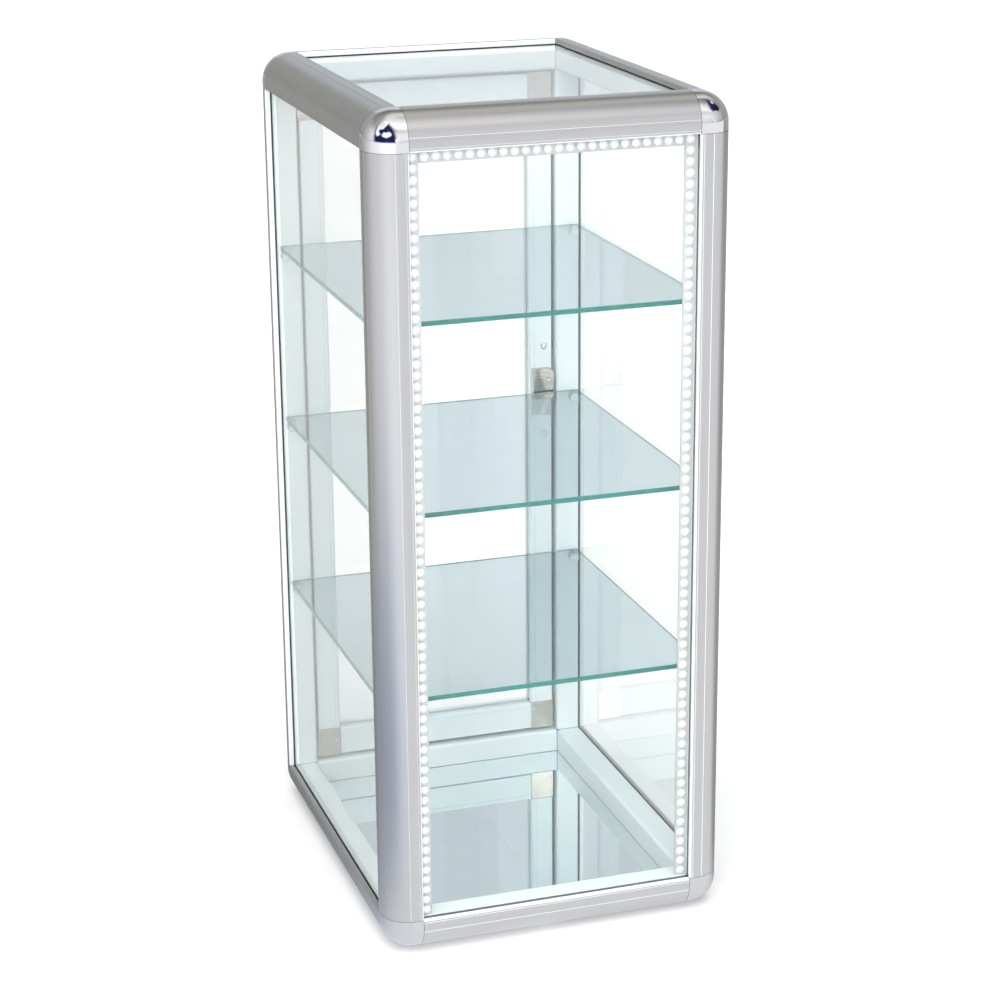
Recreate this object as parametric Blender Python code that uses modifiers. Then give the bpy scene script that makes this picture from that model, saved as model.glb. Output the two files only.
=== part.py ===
"""Glass display case with an aluminium frame, a hinged and locked rear door and three glass shelves.

The case stands on the plane Z = 0 with its middle at the origin, its glass front towards -Y and its
door towards +Y.  All sizes are in metres.
"""
import math

import bmesh
import bpy
from mathutils import Vector

# Driving dimensions
WIDTH = 0.292
DEPTH = 0.366
HEIGHT = 0.686
FRAME = 0.030            # face width of posts, rails and corner blocks
ROUND = 0.024            # radius of the frame's outer edges
WALL = 0.0025            # wall of the extrusions
GAP = 0.0003             # between pieces that touch
GLASS = 0.004
SLOT_DEPTH = 0.008       # how far a glazing slot goes into the frame
PANE_GRIP = 0.007        # how far a pane goes into its slot
SLOT_LO = 0.0025         # glazing slot, measured in from the case's outer face
SLOT_HI = 0.009
PANE_LO = 0.0047         # pane, measured the same way
CHAMBER_IN = 0.0115      # square part of the chamber, measured in from both outer faces
SPIGOT = 0.0085          # length of the corner blocks' spigots

GASKET_THICK = 0.0016
GASKET_PROUD = 0.0003    # how far the rubber shows past the frame's lip

SHELF_SIDE = 0.0105      # from the case's side to the shelf's edge
SHELF_END = 0.0015       # from the posts' inner faces to the shelf's ends
SHELF_HEIGHTS = {"upper": 0.5205, "middle": 0.3665, "lower": 0.2120}
PEG_RADIUS = 0.00425
PEG_LENGTH = 0.009
PEG_SHANK_RADIUS = 0.0017
PEG_SHANK = 0.005
PEG_EDGE = 0.0005        # chamfer on a peg's end
PEG_HOLE = 0.012         # hole's reach into the post

LED_WIDTH = 0.0095
LED_THICK = 0.004
LED_EDGE = 0.0006

DOOR_GAP = 0.002
DOOR_THICK = 0.018
DOOR_INSET = 0.006       # from the case's back to the door's outer face
STILE = 0.022
DOOR_RAIL = 0.027
DOOR_SLOT = 0.006
DOOR_GRIP = 0.005
DOOR_WALL = 0.002        # between a door bar's chamber and its glazing slot
DOOR_PANE_LO = 0.0071    # pane, measured in from the door's outer face
HINGE_FROM_EDGE = 0.010
HINGE_FROM_BACK = 0.011
PIVOT_RADIUS = 0.0025
PIVOT_LENGTH = 0.006
PIVOT_END_GAP = 0.001

LOCK_HEIGHT = 0.408
LOCK_FROM_EDGE = 0.00825
LOCK_SHANK_RADIUS = 0.0055
LOCK_HEAD_RADIUS = 0.0078
LOCK_HEAD = 0.003
LOCK_EDGE = 0.0008       # chamfer on the lock's head
LOCK_SHANK = 0.0070      # how far the barrel reaches into the stile
PLUG_RADIUS = 0.0034
PLUG_PROUD = 0.0001      # how far the plug stands past the head
PLUG_EDGE = 0.0004
KEYWAY_HALF_WIDTH = 0.0006
KEYWAY_HALF_HEIGHT = 0.0024
KEYWAY_FLOOR = 0.0008    # from the back of the lock's head
BOLT_HEIGHT = 0.008
BOLT_THICK = 0.0048
BOLT_REACH = 0.0135      # from the stile's edge to the bolt's inner end
BOLT_EDGE = 0.0004

CATCH_LOW = 0.357
CATCH_HIGH = 0.388
CATCH_EDGES = (0.0005, 0.0205)   # from the stile's edge
CATCH_THICK = 0.006
CATCH_ROUND = 0.0015

SOCKET_RADIUS = 0.005
SOCKET_X = 0.070
SOCKET_Z = 0.0195
SOCKET_REACH = 0.014
SOCKET_SUNK = 0.0022     # from the case's back to the socket's face
SOCKET_MOUTH_RADIUS = 0.0028
SOCKET_MOUTH = 0.009
SOCKET_HOLE = 0.0125     # hole's reach in from the case's back
SHELF_EDGE = 0.0005
OVERSHOOT = 0.001        # how far a cutter passes through a face
ROUND_STEPS = 12
CHAMBER_STEPS = 6
CORNER_STEPS = 8

# Worked out from the driving dimensions
HW = WIDTH / 2
HD = DEPTH / 2
HH = HEIGHT / 2
OPEN_X = HW - FRAME
OPEN_Y = HD - FRAME
CLEAR = GAP              # radial clearance of pins and barrels
BAR_TURN = {"X": (0.5, 0.5, 0.5, 0.5), "Y": (0.5, -0.5, -0.5, -0.5), "Z": (1, 0, 0, 0)}
PLANE_AXES = {"X": (1, 2), "Y": (2, 0), "Z": (0, 1)}
AXIS = {"X": 0, "Y": 1, "Z": 2}
HALF = (HW, HD, HH)
GASKET_LO = SLOT_LO + GAP

for old in list(bpy.data.objects):
    bpy.data.objects.remove(old, do_unlink=True)

parts = bpy.data.collections.new("display_case")
cutters = bpy.data.collections.new("cutters")
bpy.context.scene.collection.children.link(parts)
bpy.context.scene.collection.children.link(cutters)


def material(name, colour, roughness, metallic, alpha=1.0):
    """A Principled material with the piece's own colour."""
    mat = bpy.data.materials.new(name)
    mat.use_nodes = True
    shader = mat.node_tree.nodes["Principled BSDF"]
    shader.inputs["Base Color"].default_value = (*colour, 1.0)
    shader.inputs["Roughness"].default_value = roughness
    shader.inputs["Metallic"].default_value = metallic
    shader.inputs["Alpha"].default_value = alpha
    mat.diffuse_color = (*colour, alpha)
    return mat


FINISHES = {
    "aluminium": ((0.78, 0.79, 0.80), 0.36, 1.0),
    "chrome": ((0.86, 0.87, 0.89), 0.10, 1.0),
    "satin": ((0.80, 0.81, 0.83), 0.28, 1.0),
    "glass": ((0.80, 0.92, 0.90), 0.02, 0.0, 0.35),
    "mirror": ((0.80, 0.88, 0.89), 0.03, 1.0),
    "rubber": ((0.02, 0.02, 0.02), 0.75, 0.0),
    "led": ((0.93, 0.95, 0.95), 0.45, 0.0),
    "lock": ((0.80, 0.80, 0.82), 0.15, 1.0),
    "plastic": ((0.03, 0.03, 0.035), 0.45, 0.0),
}


def finish(obj, kind):
    """Give the object a material of its own in one of the finishes."""
    obj.data.materials.clear()
    obj.data.materials.append(material(obj.name, *FINISHES[kind]))


def new_object(name, mesh, home=None):
    """Link a mesh as a named object in a collection."""
    obj = bpy.data.objects.new(name, mesh)
    (home or parts).objects.link(obj)
    if home is cutters:
        obj.hide_render = True
        obj.display_type = "WIRE"
    return obj


def box_mesh(name, boxes, origin=(0, 0, 0)):
    """A mesh of one or more separate boxes, each given by two opposite corners."""
    bm = bmesh.new()
    for lo, hi in boxes:
        made = bmesh.ops.create_cube(bm, size=1.0)["verts"]
        for vert in made:
            for i in range(3):
                vert.co[i] = (lo[i] if vert.co[i] < 0 else hi[i]) - origin[i]
    bmesh.ops.recalc_face_normals(bm, faces=bm.faces)
    mesh = bpy.data.meshes.new(name)
    bm.to_mesh(mesh)
    bm.free()
    return mesh


def sorted_box(a, b):
    """Two opposite corners put in order."""
    return [min(p, q) for p, q in zip(a, b)], [max(p, q) for p, q in zip(a, b)]


def box(name, lo, hi, kind, bevel=0.0):
    """A box with its origin in its middle, and rounded edges if asked."""
    lo, hi = sorted_box(lo, hi)
    middle = [(p + q) / 2 for p, q in zip(lo, hi)]
    obj = new_object(name, box_mesh(name, [(lo, hi)], middle))
    obj.location = middle
    if bevel:
        rounding = obj.modifiers.new("rounded_edges", "BEVEL")
        rounding.width = bevel
        rounding.segments = 2
    finish(obj, kind)
    return obj


def extrusion(name, loops, length, along, centre, kind):
    """A flat outline, with holes, drawn out along an axis."""
    curve = bpy.data.curves.new(name + "_outline", "CURVE")
    curve.dimensions = "2D"
    curve.fill_mode = "BOTH"
    curve.extrude = length / 2
    for points in loops:
        spline = curve.splines.new("POLY")
        spline.points.add(len(points) - 1)
        for point, (a, b) in zip(spline.points, points):
            point.co = (a, b, 0, 1)
        spline.use_cyclic_u = True
    shape = bpy.data.objects.new(name + "_outline", curve)
    parts.objects.link(shape)
    bpy.context.view_layer.update()
    drawn = shape.evaluated_get(bpy.context.evaluated_depsgraph_get())
    mesh = bpy.data.meshes.new_from_object(drawn)
    bpy.data.objects.remove(shape, do_unlink=True)
    bm = bmesh.new()
    bm.from_mesh(mesh)
    bmesh.ops.remove_doubles(bm, verts=bm.verts, dist=1e-6)
    bmesh.ops.recalc_face_normals(bm, faces=bm.faces)
    bm.to_mesh(mesh)
    bm.free()
    obj = new_object(name, mesh)
    obj.rotation_mode = "QUATERNION"
    obj.rotation_quaternion = BAR_TURN[along]
    obj.location = centre
    finish(obj, kind)
    return obj


def turned(name, profile, along, centre, kind, steps=24, home=None):
    """A round solid: a profile of (radius, height) points from top to bottom, spun about its axis."""
    mesh = bpy.data.meshes.new(name)
    bm = bmesh.new()
    verts = [bm.verts.new((radius, 0, height)) for radius, height in profile]
    for first, second in zip(verts, verts[1:]):
        bm.edges.new((first, second))
    bm.to_mesh(mesh)
    bm.free()
    obj = new_object(name, mesh, home)
    screw = obj.modifiers.new("turned", "SCREW")
    screw.steps = steps
    screw.render_steps = steps
    screw.use_merge_vertices = True
    screw.merge_threshold = 0.00001
    screw.use_smooth_shade = False
    obj.rotation_mode = "QUATERNION"
    obj.rotation_quaternion = BAR_TURN[along]
    obj.location = centre
    if home is None:
        finish(obj, kind)
    return obj


def cylinder_profile(radius, low, high):
    """The half outline of a plain cylinder."""
    return [(0, high), (radius, high), (radius, low), (0, low)]


def combine(obj, tool, operation):
    """Add or cut one solid with another."""
    boolean = obj.modifiers.new(operation.lower() + "_" + tool.name, "BOOLEAN")
    boolean.operation = operation
    boolean.solver = "EXACT"
    boolean.object = tool


def cut_boxes(obj, name, boxes):
    """Cut boxes, each given by two opposite corners, out of a solid."""
    tool = new_object(name, box_mesh(name, [sorted_box(*pair) for pair in boxes]), cutters)
    combine(obj, tool, "DIFFERENCE")


def cut_round(obj, name, radius, low, high, along, centre):
    """Drill a round hole into a solid."""
    tool = turned(name, cylinder_profile(radius, low, high), along, centre, None, home=cutters)
    combine(obj, tool, "DIFFERENCE")


def smooth(obj):
    """Smooth round faces and keep the edges between flat ones."""
    obj.data.shade_smooth()
    obj.data.set_sharp_from_angle(angle=math.radians(35))


# Frame

def bar_loops(sign_a, sign_b, slot_a, slot_b):
    """A frame extrusion's outline and chamber about its middle.

    The outer corner is at the signs' side.  slot_a holds the pane that lies along the first outer
    face, and slot_b the pane along the second.
    """
    full, inner = FRAME, FRAME - SLOT_DEPTH
    outline = [(ROUND - ROUND * math.cos(t), ROUND - ROUND * math.sin(t))
               for t in [math.pi / 2 * i / ROUND_STEPS for i in range(ROUND_STEPS + 1)]]
    outline.append((full, 0))
    if slot_b:
        outline += [(full, SLOT_LO), (inner, SLOT_LO), (inner, SLOT_HI), (full, SLOT_HI)]
    outline.append((full, full))
    if slot_a:
        outline += [(SLOT_HI, full), (SLOT_HI, inner), (SLOT_LO, inner), (SLOT_LO, full)]
    outline.append((0, full))
    radius = ROUND - WALL
    bend = math.asin((ROUND - inner + WALL) / radius)
    swept = math.pi / 2 - 2 * bend
    turns = [bend + swept * i / CHAMBER_STEPS for i in range(CHAMBER_STEPS + 1)]
    chamber = [(ROUND - radius * math.cos(t), ROUND - radius * math.sin(t)) for t in turns]
    near, far = CHAMBER_IN, FRAME - WALL
    chamber += [(inner - WALL, near), (far, near), (far, far), (near, far), (near, inner - WALL)]
    half = FRAME / 2
    return [[(sign_a * (half - a), sign_b * (half - b)) for a, b in loop] for loop in (outline, chamber)]


def bar(name, along, signs, slots):
    """One post or rail between two corner blocks; signs give its place on the other two axes."""
    first, second = PLANE_AXES[along]
    centre = [0.0, 0.0, HH]
    for axis, sign in ((first, signs[0]), (second, signs[1])):
        centre[axis] += sign * (HALF[axis] - FRAME / 2)
    length = 2 * (HALF[AXIS[along]] - FRAME - GAP)
    loops = bar_loops(signs[0], signs[1], slots[0], slots[1])
    return extrusion(name, loops, length, along, centre, "aluminium")


SIDES = {"left": -1, "right": 1}
ENDS = {"front": -1, "rear": 1}
LEVELS = {"bottom": -1, "top": 1}
frame_bars = {}

for end, sy in ENDS.items():
    for side, sx in SIDES.items():
        name = f"{end}_{side}_post"
        frame_bars[name] = bar(name, "Z", (sx, sy), (True, end == "front"))
    for level, sz in LEVELS.items():
        name = f"{end}_{level}_rail"
        frame_bars[name] = bar(name, "X", (sy, sz), (end == "front", True))
for side, sx in SIDES.items():
    for level, sz in LEVELS.items():
        name = f"{side}_{level}_rail"
        frame_bars[name] = bar(name, "Y", (sz, sx), (True, True))


def corner_block(name, signs, slot_axes, kind):
    """A corner block with three rounded outer edges, three spigots and slots for the panes' corners."""
    corner = Vector((signs[0] * HW, signs[1] * HD, HH + signs[2] * HH))

    def at(distances):
        """A point given by its distances in from the case's three outer faces."""
        return [corner[i] - signs[i] * distances[i] for i in range(3)]

    bm = bmesh.new()
    bmesh.ops.create_cube(bm, size=FRAME)
    outer = max(bm.verts, key=lambda vert: sum(vert.co[i] * signs[i] for i in range(3)))
    bmesh.ops.bevel(bm, geom=list(outer.link_edges), offset=ROUND, segments=CORNER_STEPS, profile=0.5,
                    affect="EDGES", clamp_overlap=False)
    mesh = bpy.data.meshes.new(name)
    bm.to_mesh(mesh)
    bm.free()
    obj = new_object(name, mesh)
    obj.location = at([FRAME / 2] * 3)
    near, far = CHAMBER_IN + GAP, FRAME - WALL - GAP
    spigots = []
    slots = []
    for axis in range(3):
        lo, hi = [near] * 3, [far] * 3
        lo[axis], hi[axis] = FRAME - WALL, FRAME + SPIGOT
        spigots.append(sorted_box(at(lo), at(hi)))
        if axis in slot_axes:
            lo, hi = [FRAME - SLOT_DEPTH] * 3, [FRAME + WALL] * 3
            lo[axis], hi[axis] = SLOT_LO, SLOT_HI
            slots.append((at(lo), at(hi)))
    combine(obj, new_object(name + "_spigots", box_mesh(name + "_spigots", spigots), cutters), "UNION")
    cut_boxes(obj, name + "_slots", slots)
    finish(obj, kind)
    return obj


for end, sy in ENDS.items():
    for level, sz in LEVELS.items():
        for side, sx in SIDES.items():
            corner_block(f"{end}_{level}_{side}_corner", (sx, sy, sz),
                         (0, 1, 2) if end == "front" else (0, 2),
                         "chrome" if level == "top" else "satin")

# Panes, gaskets and the mirror floor

REACH = (OPEN_X + PANE_GRIP, OPEN_Y + PANE_GRIP, HH - FRAME + PANE_GRIP)


def pane(name, axis, sign, kind="glass"):
    """A sheet in the frame's slots, square to an axis, on one side of the case."""
    lo = [-REACH[0], -REACH[1], HH - REACH[2]]
    hi = [REACH[0], REACH[1], HH + REACH[2]]
    middle = HH if axis == 2 else 0.0
    lo[axis] = middle + sign * (HALF[axis] - PANE_LO - GLASS)
    hi[axis] = middle + sign * (HALF[axis] - PANE_LO)
    return box(name, lo, hi, kind)


pane("front_glass", 1, -1)
pane("left_glass", 0, -1)
pane("right_glass", 0, 1)
pane("top_glass", 2, 1)
pane("mirror_floor", 2, -1, "mirror")


def gasket(name, along, sign):
    """A rubber ring between a pane and the frame's lip."""
    axis = AXIS[along]
    first, second = PLANE_AXES[along]
    loops = []
    for extra in (PANE_GRIP - GAP, -GASKET_PROUD):
        a = HALF[first] - FRAME + extra
        b = HALF[second] - FRAME + extra
        loops.append([(-a, -b), (a, -b), (a, b), (-a, b)])
    centre = [0.0, 0.0, HH]
    centre[axis] += sign * (HALF[axis] - GASKET_LO - GASKET_THICK / 2)
    return extrusion(name, loops, GASKET_THICK, along, centre, "rubber")


gasket("left_gasket", "X", -1)
gasket("right_gasket", "X", 1)
gasket("top_gasket", "Z", 1)

# Light strips behind the front pane

led_front = -HD + PANE_LO + GLASS + GAP
led_back = led_front + LED_THICK
led_edge = OPEN_X - GAP
led_low = FRAME + GAP
led_high = HEIGHT - FRAME - GAP
for side, sx in SIDES.items():
    box(f"{side}_light_strip", (sx * led_edge, led_front, led_low),
        (sx * (led_edge - LED_WIDTH), led_back, led_high), "led", LED_EDGE)
strip_end = led_edge - LED_WIDTH - GAP
box("top_light_strip", (-strip_end, led_front, led_high - LED_WIDTH),
    (strip_end, led_back, led_high), "led", LED_EDGE)

# Shelves and the pegs that carry them

PEG_X = HW - FRAME / 2
for level, top in SHELF_HEIGHTS.items():
    edge = HW - SHELF_SIDE
    reach = OPEN_Y - SHELF_END
    box(f"{level}_shelf", (-edge, -reach, top - GLASS), (edge, reach, top), "glass",
        SHELF_EDGE)
    peg_z = top - GLASS - GAP - PEG_RADIUS
    for end, sy in ENDS.items():
        for side, sx in SIDES.items():
            face = OPEN_Y - GAP
            shank = face + PEG_SHANK
            tip = face - PEG_LENGTH
            heights = [(0, sy * tip), (PEG_RADIUS - PEG_EDGE, sy * tip),
                       (PEG_RADIUS, sy * (tip + PEG_EDGE)), (PEG_RADIUS, sy * face),
                       (PEG_SHANK_RADIUS, sy * face), (PEG_SHANK_RADIUS, sy * shank), (0, sy * shank)]
            profile = heights if sy < 0 else heights[::-1]
            peg_name = f"{level}_shelf_{end}_{side}_peg"
            smooth(turned(peg_name, profile, "Y", (sx * PEG_X, 0, peg_z), "satin", 20))
            mouth, deep = sy * (OPEN_Y - OVERSHOOT), sy * (OPEN_Y + PEG_HOLE)
            cut_round(frame_bars[f"{end}_{side}_post"], peg_name + "_hole", PEG_SHANK_RADIUS + CLEAR,
                      min(mouth, deep), max(mouth, deep), "Y", (sx * PEG_X, 0, peg_z))

# Rear door

door_x = OPEN_X - DOOR_GAP
door_low = FRAME + DOOR_GAP
door_high = HEIGHT - FRAME - DOOR_GAP
door_out = HD - DOOR_INSET
door_in = door_out - DOOR_THICK
hinge_x = -door_x + HINGE_FROM_EDGE
hinge_y = HD - HINGE_FROM_BACK

door_pivot = bpy.data.objects.new("door_pivot", None)
door_pivot.location = (hinge_x, hinge_y, HH)
parts.objects.link(door_pivot)
bpy.context.view_layer.update()


def on_door(obj, parent=door_pivot):
    """Parent a piece and leave it where it is."""
    obj.parent = parent
    obj.matrix_parent_inverse = parent.matrix_world.inverted()
    return obj


SLOT_BACK = DOOR_PANE_LO - GAP
SLOT_FRONT = DOOR_PANE_LO + GLASS + GAP


def door_bar(name, along, width, length, place):
    """A stile or rail of the door.

    place gives the middle of the bar, and the sign of its outer edge across the door.
    """
    centre, sign = place
    solid_edge = width - DOOR_SLOT
    outline = [(0, 0), (width, 0), (width, SLOT_BACK), (solid_edge, SLOT_BACK),
               (solid_edge, SLOT_FRONT), (width, SLOT_FRONT), (width, DOOR_THICK), (0, DOOR_THICK)]
    near, far = WALL, solid_edge - DOOR_WALL
    chamber = [(near, near), (far, near), (far, DOOR_THICK - WALL), (near, DOOR_THICK - WALL)]
    loops = []
    for loop in (outline, chamber):
        across = [(sign * (width / 2 - a), DOOR_THICK / 2 - b) for a, b in loop]
        loops.append(across if along == "Z" else [(b, a) for a, b in across])
    return on_door(extrusion(name, loops, length, along, centre, "aluminium"))


door_mid_y = (door_in + door_out) / 2
stile_length = door_high - door_low - 2 * DOOR_RAIL - 2 * GAP
rail_length = 2 * (door_x - STILE - GAP)
stiles = {}
for side, sx in SIDES.items():
    stiles[side] = door_bar(f"door_{side}_stile", "Z", STILE, stile_length,
                            ((sx * (door_x - STILE / 2), door_mid_y, HH), sx))
for level, sz in LEVELS.items():
    rail_z = HH + sz * (door_high - HH - DOOR_RAIL / 2)
    door_bar(f"door_{level}_rail", "X", DOOR_RAIL, rail_length, ((0, door_mid_y, rail_z), sz))

glass_x = door_x - STILE + DOOR_GRIP
glass_z = door_high - HH - DOOR_RAIL + DOOR_GRIP
on_door(box("door_glass", (-glass_x, door_out - DOOR_PANE_LO - GLASS, HH - glass_z),
            (glass_x, door_out - DOOR_PANE_LO, HH + glass_z), "glass"))


def door_corner(level, side):
    """A block that joins a stile and a rail with spigots; the two at the hinge carry the pivot pins."""
    sx, sz = SIDES[side], LEVELS[level]
    name = f"door_{level}_{side}_corner"

    def at(across, thick, up):
        """A point by its distances in from the door's edge, outer face and end."""
        return [sx * (door_x - across), door_out - thick, HH + sz * (door_high - HH - up)]

    block = box(name, at(0, 0, 0), at(STILE, DOOR_THICK, DOOR_RAIL), "chrome")
    low, thick = WALL + GAP, DOOR_THICK - WALL - GAP
    side_far = STILE - DOOR_SLOT - DOOR_WALL - GAP
    end_far = DOOR_RAIL - DOOR_SLOT - DOOR_WALL - GAP
    spigots = [sorted_box(at(low, low, DOOR_RAIL - WALL), at(side_far, thick, DOOR_RAIL + SPIGOT)),
               sorted_box(at(STILE - WALL, low, low), at(STILE + SPIGOT, thick, end_far))]
    combine(block, new_object(name + "_spigots", box_mesh(name + "_spigots", spigots), cutters), "UNION")
    cut_boxes(block, name + "_slot", [(at(STILE - DOOR_SLOT, SLOT_BACK, DOOR_RAIL - DOOR_SLOT),
                                       at(STILE + WALL, SLOT_FRONT, DOOR_RAIL + WALL))])
    if side == "left":
        end_z = door_high if sz > 0 else door_low
        tip, root = end_z + sz * PIVOT_LENGTH, end_z - sz * WALL
        pin = turned(name + "_pivot", cylinder_profile(PIVOT_RADIUS, min(tip, root), max(tip, root)),
                     "Z", (hinge_x, hinge_y, 0), None, home=cutters)
        combine(block, pin, "UNION")
        deep = tip + sz * PIVOT_END_GAP
        cut_round(frame_bars[f"rear_{level}_rail"], name + "_bore", PIVOT_RADIUS + CLEAR,
                  min(end_z, deep), max(end_z, deep), "Z", (hinge_x, hinge_y, 0))
    on_door(block)


for level in LEVELS:
    for side in SIDES:
        door_corner(level, side)

# Lock: a barrel in the stile, its plug and the bolt it drives into the post

lock_x = door_x - LOCK_FROM_EDGE
head = door_out + GAP
barrel = turned("lock_body", [
    (PLUG_RADIUS + CLEAR, LOCK_HEAD), (LOCK_HEAD_RADIUS - LOCK_EDGE, LOCK_HEAD),
    (LOCK_HEAD_RADIUS, LOCK_HEAD - LOCK_EDGE), (LOCK_HEAD_RADIUS, 0), (LOCK_SHANK_RADIUS, 0),
    (LOCK_SHANK_RADIUS, -LOCK_SHANK), (PLUG_RADIUS + CLEAR, -LOCK_SHANK),
    (PLUG_RADIUS + CLEAR, LOCK_HEAD)], "Y", (lock_x, head, LOCK_HEIGHT), "lock", 32)
smooth(on_door(barrel))
plug_end = LOCK_HEAD + PLUG_PROUD
plug = turned("lock_plug", [
    (0, plug_end), (PLUG_RADIUS - PLUG_EDGE, plug_end),
    (PLUG_RADIUS, plug_end - PLUG_EDGE), (PLUG_RADIUS, -LOCK_SHANK), (0, -LOCK_SHANK)],
    "Y", (lock_x, head, LOCK_HEIGHT), "lock", 24)
cut_boxes(plug, "lock_plug_keyway", [
    ((lock_x - KEYWAY_HALF_WIDTH, head + KEYWAY_FLOOR, LOCK_HEIGHT - KEYWAY_HALF_HEIGHT),
     (lock_x + KEYWAY_HALF_WIDTH, head + plug_end + OVERSHOOT, LOCK_HEIGHT + KEYWAY_HALF_HEIGHT))])
smooth(on_door(plug))
cut_round(stiles["right"], "lock_barrel_bore", LOCK_SHANK_RADIUS + CLEAR,
          -WALL - OVERSHOOT, OVERSHOOT, "Y", (lock_x, door_out, LOCK_HEIGHT))

bolt_back = head - LOCK_SHANK - GAP
bolt_front = bolt_back - BOLT_THICK
bolt = box("lock_bolt", (door_x - GAP, bolt_front, LOCK_HEIGHT - BOLT_HEIGHT / 2),
           (door_x - BOLT_REACH, bolt_back, LOCK_HEIGHT + BOLT_HEIGHT / 2), "satin", BOLT_EDGE)
on_door(bolt)
bolt_hole_z = (LOCK_HEIGHT - BOLT_HEIGHT / 2 - GAP, LOCK_HEIGHT + BOLT_HEIGHT / 2 + GAP)
for target, name, near, far in (
        (stiles["right"], "stile_bolt_hole", door_x + OVERSHOOT, door_x - WALL - OVERSHOOT / 2),
        (frame_bars["rear_right_post"], "post_bolt_hole", OPEN_X - OVERSHOOT,
         OPEN_X + WALL + OVERSHOOT / 2)):
    cut_boxes(target, name, [((near, bolt_front - GAP, bolt_hole_z[0]),
                              (far, bolt_back + GAP, bolt_hole_z[1]))])

on_door(box("catch_plate", (door_x - CATCH_EDGES[0], door_in - GAP, CATCH_LOW),
            (door_x - CATCH_EDGES[1], door_in - GAP - CATCH_THICK, CATCH_HIGH), "chrome",
            CATCH_ROUND))

# Power socket for the light strips, in the rear bottom rail

socket = turned("power_socket", [
    (0, -SOCKET_MOUTH), (SOCKET_MOUTH_RADIUS, -SOCKET_MOUTH), (SOCKET_MOUTH_RADIUS, 0),
    (SOCKET_RADIUS, 0), (SOCKET_RADIUS, -SOCKET_REACH), (0, -SOCKET_REACH)],
    "Y", (SOCKET_X, HD - SOCKET_SUNK, SOCKET_Z), "plastic", 24)
smooth(socket)
cut_round(frame_bars["rear_bottom_rail"], "power_socket_hole", SOCKET_RADIUS + CLEAR,
          -SOCKET_HOLE, OVERSHOOT, "Y", (SOCKET_X, HD, SOCKET_Z))
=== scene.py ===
import math

import bmesh
import bpy
from mathutils import Matrix, Vector


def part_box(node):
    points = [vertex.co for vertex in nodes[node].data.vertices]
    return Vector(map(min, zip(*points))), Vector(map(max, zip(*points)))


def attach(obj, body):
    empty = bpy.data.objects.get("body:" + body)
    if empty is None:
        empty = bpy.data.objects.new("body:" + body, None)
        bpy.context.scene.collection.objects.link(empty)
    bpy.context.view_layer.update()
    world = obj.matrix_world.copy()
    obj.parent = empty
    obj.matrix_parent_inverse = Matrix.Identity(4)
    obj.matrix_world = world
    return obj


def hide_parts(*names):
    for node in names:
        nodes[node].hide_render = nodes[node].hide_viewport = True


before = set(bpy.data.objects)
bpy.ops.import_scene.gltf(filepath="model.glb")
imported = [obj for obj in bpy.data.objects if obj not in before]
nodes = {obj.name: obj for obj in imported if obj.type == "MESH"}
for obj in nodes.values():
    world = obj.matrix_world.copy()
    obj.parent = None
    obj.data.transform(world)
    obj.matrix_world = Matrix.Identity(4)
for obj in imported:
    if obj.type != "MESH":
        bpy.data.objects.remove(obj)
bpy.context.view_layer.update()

scene = bpy.context.scene

# Detail sizes in metres
ROUND = 0.024                   # radius of the frame's outer edges
ARC_STEPS = 28
INNER_ROUND = 0.003             # rounding of a bar's innermost edge
LIP_CHAMFER = 0.0009
GROOVES = (0.0024, 0.0105)      # fine lines along a bar, measured from its opening edge
GROOVE_WIDTH = 0.0005
GROOVE_DEPTH = 0.00018
SLOT = (0.0040, 0.009, 0.008)   # a glazing slot's near side, far side and depth
CORNER_STEPS = 20
GLASS_ARRIS = 0.0004            # the small bevel around a sheet
GASKET_LINE = (0.0005, 0.0068)  # a rubber ring's thickness and width
DOOR_LINE = 0.0045              # groove on the door's bars, from their glass edge
DOOR_SLOT = (0.0068, 0.0114, 0.006)
BEAD_PITCH = 0.0088
BEAD_RADIUS = 0.0031
STRIP_BASE = 0.0018
CATCH_ROUND = 0.005
SCREW_RADIUS = 0.0026
LOCK_SHANK = 0.0055             # the barrel's radius inside the stile
LOCK_HEAD = 0.003               # thickness of its head
LOCK_SCREW = 0.0032
CORNER_SCREW = (0.0036, 0.021)  # from the stile's inner edge and from the door's end
BOLT_ROOM = 0.0003              # clearance around the bolt
BOLT_TRAVEL = 0.0085

AXIS = {"X": 0, "Y": 1, "Z": 2}
PLANE_AXES = ((1, 2), (2, 0), (0, 1))   # the other two axes, in cyclic order
SIDES = {"left": -1, "right": 1}
ENDS = {"front": -1, "rear": 1}
LEVELS = {"bottom": -1, "top": 1}


# Camera

def add_camera():
    """A viewpoint in front and to the left, looking down on the top."""
    data = bpy.data.cameras.new("camera")
    data.sensor_width = 36.0
    data.lens = 91.03
    data.clip_end = 60.0
    camera = bpy.data.objects.new("camera", data)
    scene.collection.objects.link(camera)
    matrix = Matrix.Translation((-0.6243, -1.9567, 0.9855))
    for degrees, axis in ((-17.994, "Z"), (-17.956, "X"), (0.497, "Y"), (90.0, "X")):
        matrix = matrix @ Matrix.Rotation(math.radians(degrees), 4, axis)
    camera.matrix_world = matrix
    scene.camera = camera


add_camera()


# Node helpers

def colour_sockets(sockets):
    return [socket for socket in sockets if socket.type == "RGBA"]


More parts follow.
